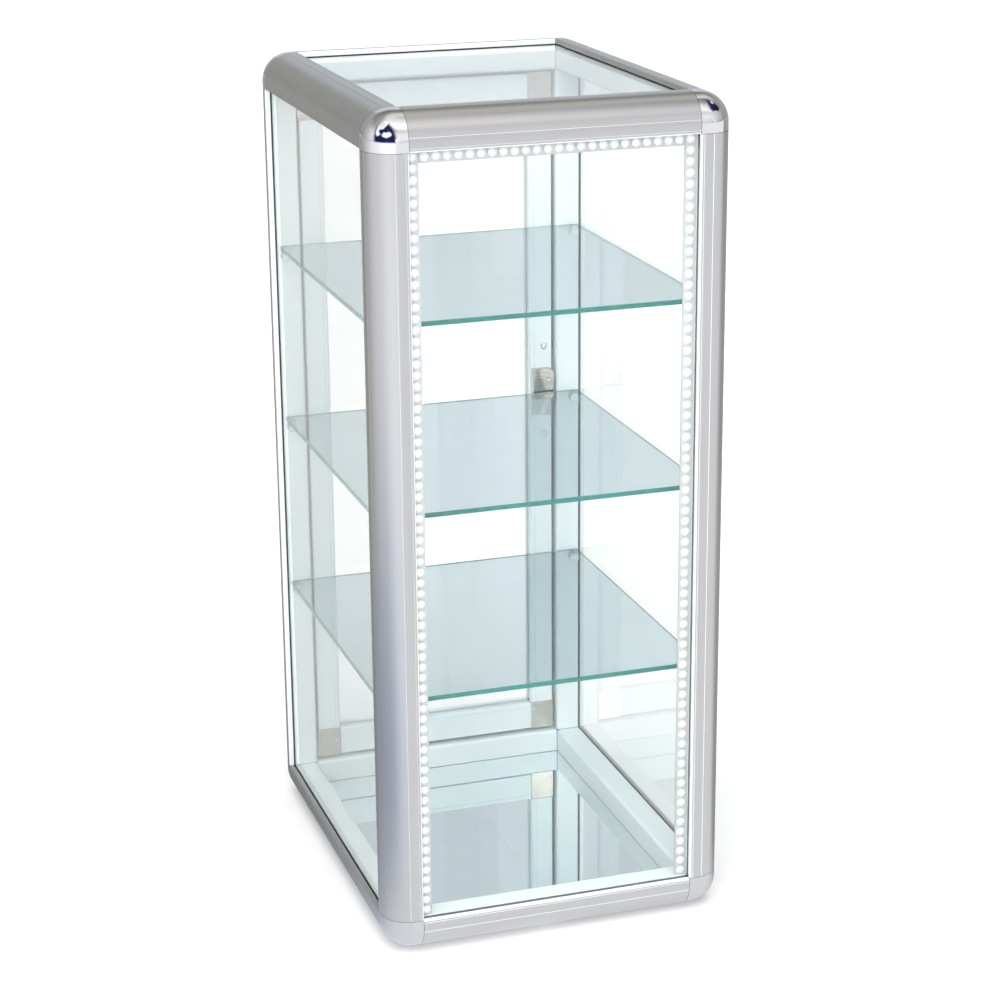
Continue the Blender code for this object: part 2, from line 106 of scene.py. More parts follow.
class Graph:
    """Short calls to add nodes to a node tree."""

    def __init__(self, tree):
        self.tree = tree

    def node(self, kind, **values):
        """A new node; each value is a socket of that name, or else a property."""
        made = self.tree.nodes.new("ShaderNode" + kind)
        for key, value in values.items():
            if key in made.inputs:
                made.inputs[key].default_value = value
            else:
                setattr(made, key, value)
        return made

    def link(self, source, target):
        self.tree.links.new(source, target)

    def coordinates(self, kind):
        return self.node("TexCoord").outputs[kind]

    def place(self, scale):
        """Object coordinates, stretched."""
        mapping = self.node("Mapping", Scale=scale)
        self.link(self.coordinates("Object"), mapping.inputs["Vector"])
        return mapping.outputs["Vector"]

    def noise(self, vector, scale, detail=3.0, roughness=0.5):
        made = self.node("TexNoise", Scale=scale, Detail=detail, Roughness=roughness)
        self.link(vector, made.inputs["Vector"])
        return made.outputs["Fac"]

    def spread(self, value, low, high, start=0.3, stop=0.7, kind="LINEAR"):
        """Map a value from one range to another."""
        made = self.node("MapRange", interpolation_type=kind)
        for name, number in (("From Min", start), ("From Max", stop), ("To Min", low), ("To Max", high)):
            made.inputs[name].default_value = number
        self.link(value, made.inputs["Value"])
        return made.outputs["Result"]

    def eased(self, value, start, stop, low, high):
        """The same, easing in and out."""
        return self.spread(value, low, high, start, stop, "SMOOTHSTEP")

    def math(self, operation, first, second=None):
        """A Math node; a number may stand for the second value."""
        made = self.node("Math", operation=operation)
        self.link(first, made.inputs[0])
        if isinstance(second, float):
            made.inputs[1].default_value = second
        elif second is not None:
            self.link(second, made.inputs[1])
        return made.outputs["Value"]

    def dot(self, vector, direction):
        made = self.node("VectorMath", operation="DOT_PRODUCT")
        made.inputs[1].default_value = direction
        self.link(vector, made.inputs[0])
        return made.outputs["Value"]

    def product(self, first, second):
        """Two colours or vectors multiplied."""
        made = self.node("VectorMath", operation="MULTIPLY")
        self.link(first, made.inputs[0])
        self.link(second, made.inputs[1])
        return made.outputs["Vector"]

    def scaled(self, vector, factor):
        made = self.node("VectorMath", operation="SCALE")
        self.link(vector, made.inputs[0])
        self.link(factor, made.inputs["Scale"])
        return made.outputs["Vector"]

    def tones(self, value, first, second):
        """Mix two colours, each given or a socket, by a value."""
        made = self.node("Mix", data_type="RGBA")
        self.link(value, made.inputs[0])
        for socket, colour in zip(colour_sockets(made.inputs), (first, second)):
            if isinstance(colour, (tuple, list)):
                socket.default_value = (*colour, 1)
            else:
                self.link(colour, socket)
        return colour_sockets(made.outputs)[0]

    def ramp(self, value, stops):
        """A colour ramp; stops are (position, colour) in order."""
        made = self.node("ValToRGB")
        elements = made.color_ramp.elements
        elements[0].position, elements[1].position = stops[0][0], stops[-1][0]
        elements[0].color, elements[1].color = (*stops[0][1], 1), (*stops[-1][1], 1)
        for position, colour in stops[1:-1]:
            elements.new(position).color = (*colour, 1)
        self.link(value, made.inputs["Fac"])
        return made.outputs["Color"]


class Shader(Graph):
    """A new material with a Principled shader."""

    def __init__(self, name):
        self.mat = bpy.data.materials.new(name)
        self.mat.use_nodes = True
        super().__init__(self.mat.node_tree)
        self.out = self.tree.nodes["Material Output"]
        self.main = self.tree.nodes["Principled BSDF"]

    def set(self, **values):
        """Set sockets of the Principled shader; an underscore in a name stands for a space."""
        for key, value in values.items():
            self.main.inputs[key.replace("_", " ")].default_value = value
        return self

    def drive(self, name, source):
        """Link a value to a socket of the Principled shader."""
        self.link(source, self.main.inputs[name])

    def bump(self, height, strength, distance):
        made = self.node("Bump", Strength=strength, Distance=distance)
        self.link(height, made.inputs["Height"])
        self.drive("Normal", made.outputs["Normal"])


def aluminium(along, name, dark, light, metallic, rough):
    """Satin anodised extrusion, with fine die lines along its length and a faint mottle."""
    shader = Shader(name + "_" + along.lower())
    stretch = [1.0, 1.0, 1.0]
    stretch[AXIS[along]] = 0.004
    lines = shader.noise(shader.place(stretch), 1900.0, 4.0, 0.6)
    mottle = shader.math("MULTIPLY", shader.noise(shader.place((1, 1, 1)), 14.0), 0.35)
    both = shader.math("ADD", lines, mottle)
    shader.drive("Base Color", shader.tones(shader.spread(both, 0.0, 1.0, 0.45, 0.95), dark, light))
    shader.drive("Roughness", shader.spread(both, rough, rough + 0.10, 0.45, 0.95))
    shader.bump(lines, 0.10, 0.00008)
    return shader.set(Metallic=metallic).mat


def chrome(name, colour, low, high):
    """Plated metal with faint smears and casting waviness."""
    shader = Shader(name)
    smears = shader.noise(shader.place((1, 1, 1)), 120.0, 4.0)
    waves = shader.noise(shader.place((1, 1, 1)), 55.0, 1.0)
    shader.drive("Roughness", shader.spread(smears, low, high))
    shader.drive("Base Color", shader.tones(smears, colour, [c * 0.93 for c in colour]))
    shader.bump(waves, 0.12, 0.0006)
    return shader.set(Metallic=1.0).mat


def lamps_pass(shader, tint):
    """Let light from lamps through glass, so that what stands behind it is lit."""
    path = shader.node("LightPath")
    clear = shader.node("BsdfTransparent", Color=(*tint, 1))
    mix = shader.node("MixShader")
    shader.link(path.outputs["Is Shadow Ray"], mix.inputs["Fac"])
    shader.link(shader.main.outputs["BSDF"], mix.inputs[1])
    shader.link(clear.outputs["BSDF"], mix.inputs[2])
    shader.link(mix.outputs["Shader"], shader.out.inputs["Surface"])
    return shader.mat


def glass(name, tint, smear):
    """Clear float glass, a little green, with faint wiping marks."""
    shader = Shader(name)
    wiped = shader.noise(shader.place((1, 1, 0.35)), 26.0, 5.0, 0.65)
    shader.drive("Roughness", shader.spread(wiped, 0.0, smear, 0.45, 0.8))
    shader.drive("Base Color", shader.tones(wiped, tint, [c * 0.985 for c in tint]))
    shader.set(IOR=1.45, Transmission_Weight=1.0)
    return lamps_pass(shader, [0.96 * c for c in tint])


def glass_edge(name, deep, pale, painted_glow=0.0):
    """The ground edge of a sheet, where the glass shows its own colour; the optional emission is painted
    light, standing in for light carried along the glass to its edge.
    """
    shader = Shader(name)
    grain = shader.noise(shader.place((1, 1, 1)), 900.0)
    drift = shader.noise(shader.place((1, 1, 1)), 9.0, 2.0)
    shader.drive("Base Color", shader.tones(shader.spread(drift, 0, 1), deep, pale))
    shader.drive("Roughness", shader.spread(grain, 0.12, 0.32))
    shader.bump(grain, 0.2, 0.00005)
    shader.set(IOR=1.5, Transmission_Weight=0.35, Specular_IOR_Level=0.2)
    shader.set(Emission_Color=(*pale, 1), Emission_Strength=painted_glow)
    return lamps_pass(shader, pale)


def mirror():
    """Silvered glass with a little dust."""
    shader = Shader("mirror")
    dust = shader.noise(shader.place((1, 1, 1)), 60.0, 6.0, 0.7)
    shader.drive("Roughness", shader.spread(dust, 0.0, 0.05, 0.5, 0.85))
    shader.drive("Base Color", shader.tones(shader.spread(dust, 0, 1), (0.86, 0.93, 0.93),
                                            (0.82, 0.89, 0.90)))
    return shader.set(Metallic=1.0, Coat_Weight=0.6, Coat_Roughness=0.02).mat


def plain(name, first, second, rough, scale, bump=0.15, **values):
    """A moulded surface: two close tones, uneven gloss and a fine grain."""
    shader = Shader(name)
    grain = shader.noise(shader.place((1, 1, 1)), scale, 4.0)
    shader.drive("Base Color", shader.tones(shader.spread(grain, 0, 1), first, second))
    shader.drive("Roughness", shader.spread(grain, *rough))
    shader.bump(grain, bump, 0.00008)
    return shader.set(**values).mat


def bead_lens():
    """A milky lens that glows, brighter in the middle of its face than at its rim."""
    shader = Shader("bead_lens")
    cloud = shader.noise(shader.place((1, 1, 1)), 400.0, 2.0)
    rim = shader.node("LayerWeight", Blend=0.35)
    shader.drive("Base Color", shader.tones(cloud, (0.50, 0.51, 0.52), (0.46, 0.47, 0.48)))
    shader.drive("Roughness", shader.spread(cloud, 0.12, 0.25))
    shader.drive("Emission Strength", shader.spread(rim.outputs["Facing"], 0.42, 0.0, 0.1, 0.8))
    return shader.set(Emission_Color=(1.0, 0.99, 0.98, 1)).mat


ALUMINIUM = {along: aluminium(along, "anodised_aluminium", (0.60, 0.60, 0.602), (0.67, 0.67, 0.672),
                              1.0, 0.26) for along in AXIS}
# Painted light: a paler, mostly diffuse copy of the anodised aluminium for the faces inside the case, so
# that they look lit through the glass.
INNER_PAINTED_LIGHT = {along: aluminium(along, "inner_aluminium_painted_light", (0.90, 0.945, 0.94), (0.94, 0.975, 0.97), 0.12, 0.34)
         for along in AXIS}
# Painted shade: a darker, rougher copy of the anodised aluminium for the lips of the side rails, where the
# glazing slot and the rubber shade them.
LIP_PAINTED_SHADE = aluminium("Y", "lip_painted_shade", (0.40, 0.40, 0.395), (0.46, 0.46, 0.455), 0.7, 0.40)
CHROME = chrome("chrome", (0.84, 0.85, 0.88), 0.04, 0.09)
SATIN = chrome("satin_chrome", (0.70, 0.70, 0.72), 0.13, 0.27)
CATCH = chrome("catch_steel", (0.56, 0.535, 0.48), 0.14, 0.26)
PANE = glass("pane_glass", (0.972, 0.993, 0.99), 0.012)
PANE_EDGE = glass_edge("pane_edge", (0.20, 0.52, 0.48), (0.40, 0.68, 0.64))
SHELF = glass("shelf_glass", (0.60, 0.69, 0.72), 0.02)
# The shelves' edges are given emission: painted light for the light carried along the glass to its edges.
SHELF_EDGE_PAINTED_GLOW = glass_edge("shelf_edge_painted_glow", (0.004, 0.15, 0.13), (0.018, 0.23, 0.20), 0.30)
MIRROR = mirror()
RUBBER = plain("glazing_rubber", (0.012, 0.013, 0.013), (0.03, 0.032, 0.032), (0.55, 0.75), 700.0)
STRIP = plain("strip_backing", (0.46, 0.465, 0.465), (0.52, 0.525, 0.525), (0.35, 0.5), 900.0)
BEAD = bead_lens()
PLASTIC = plain("socket_plastic", (0.02, 0.02, 0.022), (0.035, 0.035, 0.038), (0.4, 0.55), 800.0)
CLEAR_PAD = plain("clear_pad", (0.80, 0.86, 0.86), (0.70, 0.78, 0.78), (0.15, 0.3), 300.0,
                  Transmission_Weight=0.5, IOR=1.45)


# Geometry helpers

def new_object(name, bm):
    """An object in the scene with a bmesh's faces."""
    mesh = bpy.data.meshes.new(name)
    bm.to_mesh(mesh)
    bm.free()
    obj = bpy.data.objects.new(name, mesh)
    scene.collection.objects.link(obj)
    return obj


def cut_box(piece, lo, hi):
    """Cut a box out of a piece."""
    bm = bmesh.new()
    add_box(bm, lo, hi)
    bmesh.ops.recalc_face_normals(bm, faces=bm.faces)
    tool = new_object("tool", bm)
    cut = piece.modifiers.new("cut", "BOOLEAN")
    cut.object = tool
    cut.solver = "EXACT"
    final = piece.evaluated_get(bpy.context.evaluated_depsgraph_get())
    shaped = bpy.data.meshes.new_from_object(final)
    piece.modifiers.clear()
    piece.data = shaped
    bpy.data.objects.remove(tool)


def finish_piece(name, bm, materials, body, replaced=(), sharp=30.0, pocket=None):
    """Turn a bmesh into a shaded piece that rides on a body; a pocket is a box to cut out of it."""
    bmesh.ops.recalc_face_normals(bm, faces=bm.faces)
    piece = new_object(name, bm)
    for mat in materials:
        piece.data.materials.append(mat)
    if pocket:
        cut_box(piece, *pocket)
    piece.data.shade_smooth()
    piece.data.set_sharp_from_angle(angle=math.radians(sharp))
    if replaced:
        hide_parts(*replaced)
    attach(piece, body)


def add_box(bm, lo, hi, bevel=0.0, segments=2):
    """A box with rounded edges in a bmesh; returns its faces."""
    before = set(bm.faces)
    verts = bmesh.ops.create_cube(bm, size=1.0)["verts"]
    for vert in verts:
        for i in range(3):
            vert.co[i] = lo[i] if vert.co[i] < 0 else hi[i]
    if bevel:
        edges = list({edge for vert in verts for edge in vert.link_edges})
        bmesh.ops.bevel(bm, geom=edges, offset=bevel, segments=segments, profile=0.5, affect="EDGES")
    return [face for face in bm.faces if face not in before]


def add_turned(bm, profile, centre, direction, steps=32, material=0):
    """A round form about an axis; profile points are (radius, distance along direction)."""
    direction = Vector(direction).normalized()
    across = direction.orthogonal().normalized()
    other = direction.cross(across)
    spokes = [across * math.cos(t) + other * math.sin(t)
              for t in [2 * math.pi * i / steps for i in range(steps)]]
    rings = []
    for radius, height in profile:
        base = Vector(centre) + direction * height
        rings.append([bm.verts.new(base + spoke * radius) for spoke in spokes] if radius > 1e-7
                     else [bm.verts.new(base)])
    for lower, upper in zip(rings, rings[1:]):
        for i in range(steps):
            j = (i + 1) % steps
            loop = [ring[k % len(ring)] for ring, k in ((lower, i), (lower, j), (upper, j), (upper, i))]
            corners = list(dict.fromkeys(loop))
            if len(corners) > 2:
                bm.faces.new(corners).material_index = material


def add_outline(bm, points, axis, low, high):
    """A flat outline drawn out along an axis; points are on the other two axes in cyclic order."""
    first, second = PLANE_AXES[axis]
    rings = []
    for level in (low, high):
        ring = []
        for a, b in points:
            co = [0.0, 0.0, 0.0]
            co[first], co[second], co[axis] = a, b, level
            ring.append(bm.verts.new(co))
        rings.append(ring)
    count = len(points)
    for i in range(count):
        j = (i + 1) % count
        bm.faces.new((rings[0][i], rings[0][j], rings[1][j], rings[1][i]))
    for ring in rings:
        bm.faces.new(ring)


# Frame

post_lo, post_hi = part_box("front_left_post")
FACE = post_hi.x - post_lo.x


def bolt_pocket():
    """The space the lock's bolt takes as it slides, with a little clearance."""
    lo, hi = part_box("lock_bolt")
    room = Vector((BOLT_ROOM, BOLT_ROOM, BOLT_ROOM))
    return lo - room, hi + room + Vector((BOLT_TRAVEL, 0, 0))


POCKETS = {name: bolt_pocket() for name in ("rear_right_post", "door_right_stile")}


def half_profile(slotted):
    """From the middle of the round edge to the inner corner, as distances in from the outer faces."""
    groove_angles = [math.acos(1 - min(FACE - g, ROUND) / ROUND) for g in GROOVES[1:]]
    swing = GROOVE_WIDTH / 2 / ROUND
    half = ARC_STEPS // 2
    angles = [math.pi / 4 * (1 + i / half) for i in range(half + 1)]
    points = [(t, ROUND) for t in angles if all(abs(t - g) > swing * 1.6 for g in groove_angles)]
    for g in groove_angles:
        points += [(g - swing, ROUND), (g, ROUND - GROOVE_DEPTH), (g + swing, ROUND)]
    outline = [(ROUND - r * math.cos(t), ROUND - r * math.sin(t)) for t, r in sorted(points)]
    line = FACE - GROOVES[0]
    outline += [(line - GROOVE_WIDTH / 2, 0), (line, GROOVE_DEPTH), (line + GROOVE_WIDTH / 2, 0),
                (FACE - LIP_CHAMFER, 0), (FACE, LIP_CHAMFER)]
    if slotted:
        near, far, deep = SLOT
        outline += [(FACE, near), (FACE - deep, near), (FACE - deep, far), (FACE, far)]
    start = FACE - INNER_ROUND
    outline += [(start + INNER_ROUND * math.cos(t), start + INNER_ROUND * math.sin(t))
                for t in [math.pi / 4 * i / 4 for i in range(5)]]
    return outline


def bar(name, along, signs, slots):
    """A post or rail: rounded, grooved, chamfered and slotted."""
    lo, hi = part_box(name)
    axis = AXIS[along]
    first, second = PLANE_AXES[axis]
    upper = half_profile(slots[1])
    lower = [(b, a) for a, b in half_profile(slots[0])]
    outline = list(reversed(lower))[1:] + upper[1:]
    outer = [hi[i] if sign > 0 else lo[i] for i, sign in zip((first, second), signs)]
    points = [(outer[0] - signs[0] * a, outer[1] - signs[1] * b) for a, b in outline]
    bm = bmesh.new()
    add_outline(bm, points, axis, lo[axis], hi[axis])
    bmesh.ops.recalc_face_normals(bm, faces=bm.faces)
    for face in bm.faces:
        if min(face.normal[first] * signs[0], face.normal[second] * signs[1]) < -0.3:
            middle = face.calc_center_median()
            depth = min(abs(middle[first] - outer[0]), abs(middle[second] - outer[1]))
            # Faces toward the inside take the pale painted-light copy of the aluminium; the lips of the
            # side rails take the dark painted-shade copy.
            face.material_index = 2 if along == "Y" and depth < SLOT[0] else 1
    finish_piece(name + "_extrusion", bm, [ALUMINIUM[along], INNER_PAINTED_LIGHT[along], LIP_PAINTED_SHADE], "frame", [name],
                 22.0, POCKETS.get(name))


for end, sy in ENDS.items():
    for side, sx in SIDES.items():
        bar(f"{end}_{side}_post", "Z", (sx, sy), (True, end == "front"))
    for level, sz in LEVELS.items():
        bar(f"{end}_{level}_rail", "X", (sy, sz), (end == "front", True))
for side, sx in SIDES.items():
    for level, sz in LEVELS.items():
        bar(f"{side}_{level}_rail", "Y", (sz, sx), (True, True))


def corner_block(name, signs, mat):
    """A cast corner block, its three outer edges rounded into one another."""
    lo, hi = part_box(name)
    corner = [hi[i] if signs[i] > 0 else lo[i] for i in range(3)]
    bm = bmesh.new()
    bmesh.ops.create_cube(bm, size=FACE)
    outer = max(bm.verts, key=lambda vert: sum(vert.co[i] * signs[i] for i in range(3)))
    bmesh.ops.bevel(bm, geom=list(outer.link_edges), offset=ROUND, segments=CORNER_STEPS,
                    profile=0.5, affect="EDGES", clamp_overlap=False)
    centre = Vector([corner[i] - signs[i] * FACE / 2 for i in range(3)])
    bmesh.ops.translate(bm, verts=bm.verts, vec=centre)
    finish_piece(name + "_block", bm, [mat], "frame", [name], 40.0)


for end, sy in ENDS.items():
    for level, sz in LEVELS.items():
        for side, sx in SIDES.items():
            mat, slot = (CHROME, "corner_chrome") if level == "top" else (SATIN, "corner_satin")
            corner_block(f"{end}_{level}_{side}_corner", (sx, sy, sz), mat)


# Glass

def sheet_of_glass(name, faces, edges, body):
    """A sheet with ground edges, each arris taken off."""
    lo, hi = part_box(name)
    thin = min(range(3), key=lambda i: hi[i] - lo[i])
    bm = bmesh.new()
    for face in add_box(bm, lo, hi, GLASS_ARRIS, 1):
        face.normal_update()
        face.material_index = 0 if abs(face.normal[thin]) > 0.99 else 1
    finish_piece(name + "_sheet", bm, [faces, edges], body, [name], 20.0)


for name in ("front_glass", "left_glass", "right_glass", "top_glass"):
    sheet_of_glass(name, PANE, PANE_EDGE, "frame")
sheet_of_glass("door_glass", PANE, PANE_EDGE, "door")
sheet_of_glass("mirror_floor", MIRROR, PANE_EDGE, "frame")
for level in ("upper", "middle", "lower"):
    sheet_of_glass(f"{level}_shelf", SHELF, SHELF_EDGE_PAINTED_GLOW, f"{level}_shelf")


def gasket(name):
    """A thin rubber ring between a pane and the frame's lip, against the pane."""
    lo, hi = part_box(name)
    thin = min(range(3), key=lambda i: hi[i] - lo[i])
    first, second = PLANE_AXES[thin]
    pane_lo, pane_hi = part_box(name.replace("gasket", "glass"))
    thick, inside = GASKET_LINE
    base = pane_hi[thin] if lo[thin] > pane_lo[thin] else pane_lo[thin] - thick
    levels = (base, base + thick)
    bm = bmesh.new()
    rings = []
    for level in levels:
        for inset in (0.0, inside):
            ring = []
            for i, j in ((0, 0), (1, 0), (1, 1), (0, 1)):
                co = [0.0, 0.0, 0.0]
                co[thin] = level
                co[first] = hi[first] - inset if i else lo[first] + inset
                co[second] = hi[second] - inset if j else lo[second] + inset
                ring.append(bm.verts.new(co))
            rings.append(ring)
    for a, b in ((0, 1), (1, 3), (3, 2), (2, 0)):
        for i in range(4):
            j = (i + 1) % 4
            bm.faces.new((rings[a][i], rings[a][j], rings[b][j], rings[b][i]))
    finish_piece(name + "_ring", bm, [RUBBER], "frame", [name], 30.0)


for name in ("left_gasket", "right_gasket", "top_gasket"):
    gasket(name)


def door_bar(name, along, sign):
    """A bar of the door with a fine line beside the glass on both faces; sign gives its outer edge."""
    lo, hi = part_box(name)
    across = 0 if along == "Z" else 2
    width, thick = hi[across] - lo[across], hi.y - lo.y
    soft, line, half = LIP_CHAMFER * 1.5, width - DOOR_LINE, GROOVE_WIDTH / 2
    slot_lo, slot_hi, slot_deep = DOOR_SLOT
    outline = [(0, soft), (soft, 0), (line - half, 0), (line, GROOVE_DEPTH), (line + half, 0),
               (width - soft, 0), (width, soft), (width, slot_lo), (width - slot_deep, slot_lo),
               (width - slot_deep, slot_hi), (width, slot_hi), (width, thick - soft),
               (width - soft, thick), (line + half, thick), (line, thick - GROOVE_DEPTH),
               (line - half, thick), (soft, thick), (0, thick - soft)]
    outer = hi[across] if sign > 0 else lo[across]
    points = [(outer - sign * a, hi.y - b) for a, b in outline]
    if along == "X":
        points = [(b, a) for a, b in points]
    bm = bmesh.new()
    axis = AXIS[along]
    add_outline(bm, points, axis, lo[axis], hi[axis])
    bmesh.ops.recalc_face_normals(bm, faces=bm.faces)
    for face in bm.faces:
        outward = face.normal[across] * sign
        # Faces toward the inside take the pale painted-light copy of the aluminium.
        face.material_index = 0 if face.normal.y > 0.3 or outward > 0.3 else 1
    finish_piece(name + "_extrusion", bm, [ALUMINIUM[along], INNER_PAINTED_LIGHT[along]], "door", [name],
                 22.0, POCKETS.get(name))


for side, sx in SIDES.items():
    door_bar(f"door_{side}_stile", "Z", sx)
for level, sz in LEVELS.items():
    door_bar(f"door_{level}_rail", "X", sz)


# Light strips

def light_strip(name):
    """A backing strip with a row of domed beads that face the front pane."""
    lo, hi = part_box(name)
    long = 2 if hi.z - lo.z > hi.x - lo.x else 0
    bm = bmesh.new()
    back = lo.copy()
    back.y = hi.y - STRIP_BASE
    add_box(bm, back, hi, 0.0003)
    length = hi[long] - lo[long]
    count = int(length / BEAD_PITCH)
    step = length / count
    foot = 0.0004
    rise = back.y - lo.y - 0.0002 - foot
    bead = [(BEAD_RADIUS * 1.12, 0), (BEAD_RADIUS * 1.12, 0.0003), (BEAD_RADIUS, foot)]
    bead += [(BEAD_RADIUS * math.cos(t), foot + rise * math.sin(t))
             for t in [math.pi / 2 * i / 6 for i in range(1, 7)]]
    for i in range(count):
        centre = (lo + hi) / 2
        centre[long] = lo[long] + step * (i + 0.5)
        centre.y = back.y
        add_turned(bm, bead, centre, (0, -1, 0), 18, 1)
        if i:
            gap = centre.copy()
            gap[long] -= step / 2
            chip = Vector((0.0012, 0.0012, 0.0012))
            chip[long] = 0.0005
            low, high = gap - chip, gap + chip
            low.y, high.y = back.y - 0.0005, back.y + 0.0001
            add_box(bm, low, high, 0.0001, 1)
    finish_piece(name + "_beads", bm, [STRIP, BEAD], "frame", [name], 40.0)


for name in ("left_light_strip", "right_light_strip", "top_light_strip"):
    light_strip(name)


# Pegs, screws, catch and lock

def peg(name, sign):
    """A shelf peg: plated body, clear sleeve and shank."""
    lo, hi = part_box(name)
    centre = (lo + hi) / 2
    radius = (hi.x - lo.x) / 2
    centre.y = lo.y if sign > 0 else hi.y
    rim = radius - 0.0001
    head = [(0, 0), (radius * 0.42, 0), (radius * 0.5, 0.0004), (radius * 0.62, 0.0004),
            (radius * 0.70, 0), (radius - 0.0007, 0), (rim, 0.0006), (rim, 0.0030)]
    sleeve = [(rim, 0.0030), (radius, 0.0032), (radius, 0.0072), (rim, 0.0074)]
    shank = [(rim, 0.0074), (rim, 0.0090), (0.0017, 0.0090), (0.0017, 0.0140), (0, 0.0140)]
    bm = bmesh.new()
    for profile, material in ((head, 0), (sleeve, 1), (shank, 0)):
        add_turned(bm, profile, centre, (0, sign, 0), 32, material)
    bmesh.ops.remove_doubles(bm, verts=bm.verts, dist=1e-6)
    finish_piece(name + "_turned", bm, [SATIN, CLEAR_PAD], "frame", [name], 35.0)


for level in ("upper", "middle", "lower"):
    for end, sy in ENDS.items():
        for side in SIDES:
            peg(f"{level}_shelf_{end}_{side}_peg", sy)


def screw(name, place, radius):
    """A pan-head screw with a dished drive recess, on the door's inner side."""
    profile = ((1, 0), (1, 0.25), (0.82, 0.45), (0.50, 0.52), (0.42, 0.22), (0, 0.18))
    bm = bmesh.new()
    add_turned(bm, [(radius * r, radius * h) for r, h in profile], place, (0, -1, 0), 28)
    finish_piece(name, bm, [SATIN], "door", (), 35.0)


def catch_plate():
    """A folded keeper box on the stile, with a rounded corner, folds at its top and two screws."""
    lo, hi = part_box("catch_plate")
    turn = CATCH_ROUND
    face = lo.y + 0.0006
    middle = (lo.y + hi.y) / 2
    points = [(lo.z, lo.x), (lo.z, hi.x)]
    points += [(hi.z - turn + turn * math.sin(t), hi.x - turn + turn * math.cos(t))
               for t in [math.pi / 2 * i / 8 for i in range(9)]]
    points.append((hi.z, lo.x))
    bm = bmesh.new()
    add_outline(bm, points, 1, face, hi.y)
    edges = [edge for edge in bm.edges if all(vert.co.y < middle for vert in edge.verts)]
    bmesh.ops.bevel(bm, geom=edges, offset=0.0006, segments=3, profile=0.5, affect="EDGES")
    for i in range(3):
        level = hi.z - 0.0030 - i * 0.0026
        add_box(bm, (lo.x + 0.0008, lo.y + 0.0001, level - 0.0007),
                (hi.x - turn * 0.8, lo.y + 0.0012, level + 0.0007), 0.0004)
    finish_piece("catch_box", bm, [CATCH], "door", ["catch_plate"], 35.0)
    for label, share in (("upper", 0.62), ("lower", 0.22)):
        place = (hi.x - 0.0048, face + 0.0006, lo.z + (hi.z - lo.z) * share)
        screw(f"catch_{label}_screw", place, SCREW_RADIUS * 0.9)


catch_plate()


def lock():
    """The lock's face with its rolled rim, and the end of its fixing screw on the stile's inner side."""
    lo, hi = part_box("lock_body")
    plug_lo, plug_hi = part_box("lock_plug")
    centre = (plug_lo + plug_hi) / 2
    bore = (plug_hi.x - plug_lo.x) / 2 + 0.0003
    radius = (hi.x - lo.x) / 2
    end = lo.y - hi.y
    profile = [(bore, 0), (bore + 0.0009, 0), (bore + 0.0013, -0.0005), (bore + 0.0019, -0.0005),
               (bore + 0.0023, 0), (radius - 0.0014, 0), (radius - 0.0005, -0.0004), (radius, -0.0013),
               (radius, -LOCK_HEAD), (LOCK_SHANK, -LOCK_HEAD), (LOCK_SHANK, end), (bore, end), (bore, 0)]
    bm = bmesh.new()
    add_turned(bm, profile, (centre.x, hi.y, centre.z), (0, 1, 0), 48)
    bmesh.ops.remove_doubles(bm, verts=bm.verts, dist=1e-6)
    finish_piece("lock_barrel", bm, [CHROME], "door", ["lock_body"], 35.0)
    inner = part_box("door_right_stile")[0].y
    screw("lock_fixing_screw", (centre.x, inner, centre.z), LOCK_SCREW)


lock()

for level, sz in LEVELS.items():
    for side, sx in SIDES.items():
        lo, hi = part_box(f"door_{level}_{side}_corner")
        stile_lo, stile_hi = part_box(f"door_{side}_stile")
        x = (stile_lo.x if sx > 0 else stile_hi.x) + sx * CORNER_SCREW[0]
        z = (hi.z if sz > 0 else lo.z) - sz * CORNER_SCREW[1]
        screw(f"door_{level}_{side}_corner_screw", (x, stile_lo.y, z), SCREW_RADIUS * 0.8)


# CAD nodes that stay

STAYING = {"lock_plug": CHROME, "lock_bolt": SATIN, "power_socket": PLASTIC}
STAYING.update({f"door_{level}_{side}_corner": CATCH for level in LEVELS for side in SIDES})
for name, mat in STAYING.items():
    obj = nodes[name]
    obj.data.materials.clear()
    obj.data.materials.append(mat)
    weld = obj.modifiers.new("weld", "WELD")
    weld.merge_threshold = 0.00001
    rounding = obj.modifiers.new("edges", "BEVEL")
    rounding.width = 0.0004
    rounding.segments = 2
    rounding.limit_method = "ANGLE"
    rounding.angle_limit = math.radians(50)


# Stage: floor, world, cards and lamps

LAMP_TARGET = Vector((0, 0, 0.34))


def floor():
    bm = bmesh.new()
    bmesh.ops.create_grid(bm, x_segments=1, y_segments=1, size=16.0)
    obj = new_object("floor", bm)
    obj.location.z = -0.0008
    obj.data.materials.append(plain("floor", (0.90, 0.90, 0.90), (0.92, 0.92, 0.92), (0.7, 0.8), 40.0, 0.0))


def azimuth_tone(graph, direction):
    """The studio's brightness all around: brightest to the front left, and dim behind."""
    facing = graph.dot(direction, Vector((-0.52, -0.85, 0.0)).normalized())
    stops = [(0.0, (0.44, 0.435, 0.42))]
    for place, tone in ((0.22, 0.36), (0.42, 0.52), (0.60, 0.72), (0.75, 0.95), (0.86, 1.02), (0.94, 1.14)):
        stops.append((place, (tone, tone, tone * (0.955 if place < 0.5 else 1.025))))
    stops.append((1.0, (1.34, 1.34, 1.38)))
    return graph.ramp(graph.spread(facing, 0.0, 1.0, -1.0, 1.0), stops)


def window_mask(graph, around, height):
    """Where the dark window shapes show: in front, above the horizon, and faint where the front
    top rail would mirror them."""
    ahead = graph.eased(graph.dot(around, (0.0, -1.0, 0.25)), -0.05, 0.25, 0.0, 1.0)
    above = graph.eased(height, -0.02, 0.05, 0.0, 1.0)
    beside = graph.math("ABSOLUTE", graph.dot(around, (0.95, 0.31, 0.0)))
    return graph.math("MULTIPLY", graph.math("MULTIPLY", ahead, above),
                      graph.eased(beside, 0.20, 0.42, 0.12, 1.0))


